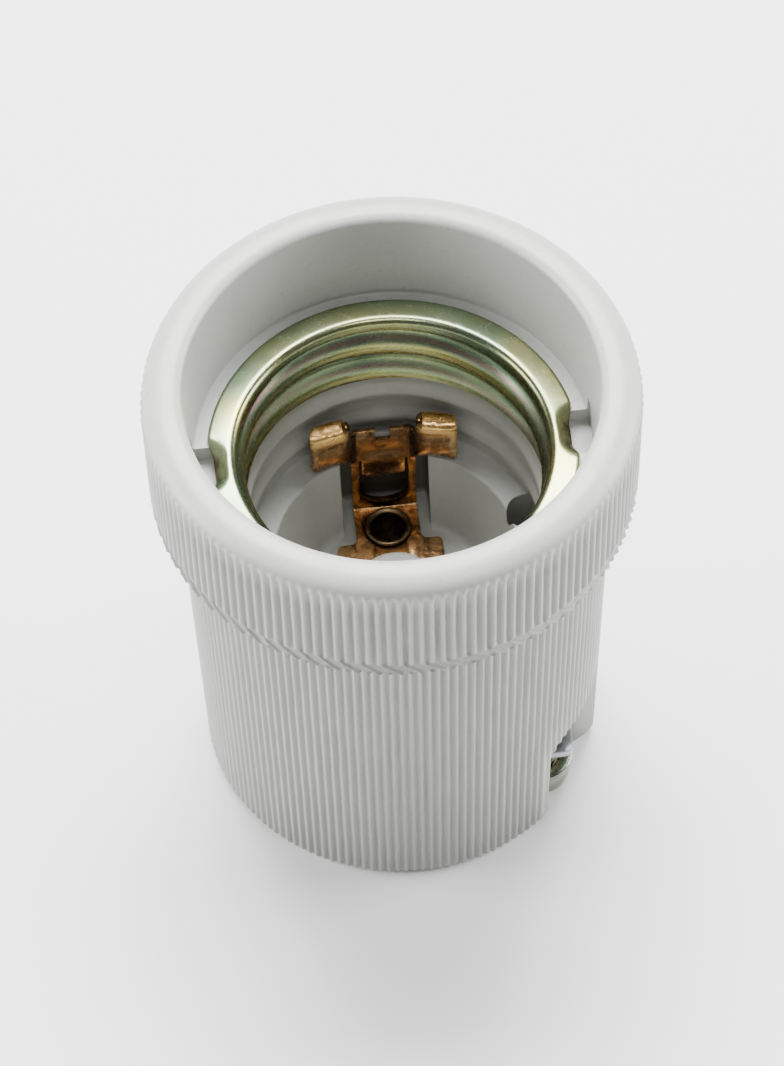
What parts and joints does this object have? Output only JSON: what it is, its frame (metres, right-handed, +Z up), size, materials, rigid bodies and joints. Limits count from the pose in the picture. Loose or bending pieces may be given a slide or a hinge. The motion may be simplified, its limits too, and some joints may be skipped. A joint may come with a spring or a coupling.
{
  "type": "ceramic lamp holder",
  "caption": "Ceramic screw-cap lamp holder: ribbed porcelain body with a wider collar, threaded metal shell, copper contacts and screw terminals in side channels of the base.",
  "frame": {"origin": "centre of the base, on the surface that the holder stands on", "axes": "+Z up along the lamp's axis towards the mouth, +Y towards the side contact, +X across the two contacts"},
  "size_m": [0.0404, 0.0404, 0.049],
  "materials": {
    "porcelain": "satin unglazed porcelain, light grey-white",
    "shell": "rolled sheet steel, yellow-green iridescent zinc plating",
    "contact_strip": "bright copper spring strip",
    "rivet": "bright brass tube rivet",
    "terminal_plate": "stamped steel, bright zinc plating",
    "terminal_screw": "zinc-plated steel, dark green tint",
    "clamp_washer": "zinc-plated steel, dark green tint"
  },
  "bodies": {
    "root": {"porcelain_body": "porcelain", "screw_shell": "shell", "side_contact": "contact_strip", "centre_contact": "contact_strip", "side_contact_rivet": "rivet", "centre_contact_rivet": "rivet", "side_terminal_plate": "terminal_plate", "centre_terminal_plate": "terminal_plate"},
    "centre_clamp": {"centre_clamp_washer": "clamp_washer"},
    "centre_screw": {"centre_terminal_screw": "terminal_screw"},
    "side_clamp": {"side_clamp_washer": "clamp_washer"},
    "side_screw": {"side_terminal_screw": "terminal_screw"}
  },
  "joints": [
    {"name": "centre_clamp_slide", "type": "slide", "parent": "root", "child": "centre_clamp", "axis": [0, 0, 1], "range_m": [0, 0.003]},
    {"name": "centre_screw_turn", "type": "hinge", "parent": "centre_clamp", "child": "centre_screw", "pos_m": [0.0114, -0.0088, 0.0034], "axis": [0, 0, 1], "range_deg": [0, 2165]},
    {"name": "side_clamp_slide", "type": "slide", "parent": "root", "child": "side_clamp", "axis": [0, 0, 1], "range_m": [0, 0.003]},
    {"name": "side_screw_turn", "type": "hinge", "parent": "side_clamp", "child": "side_screw", "pos_m": [-0.0114, 0.0088, 0.0034], "axis": [0, 0, 1], "range_deg": [0, 2165]}
  ],
  "couplings": [
    {"joint": "centre_screw_turn", "follows": "centre_clamp_slide", "rad_per_m": 12566},
    {"joint": "side_screw_turn", "follows": "side_clamp_slide", "rad_per_m": 12566}
  ]
}
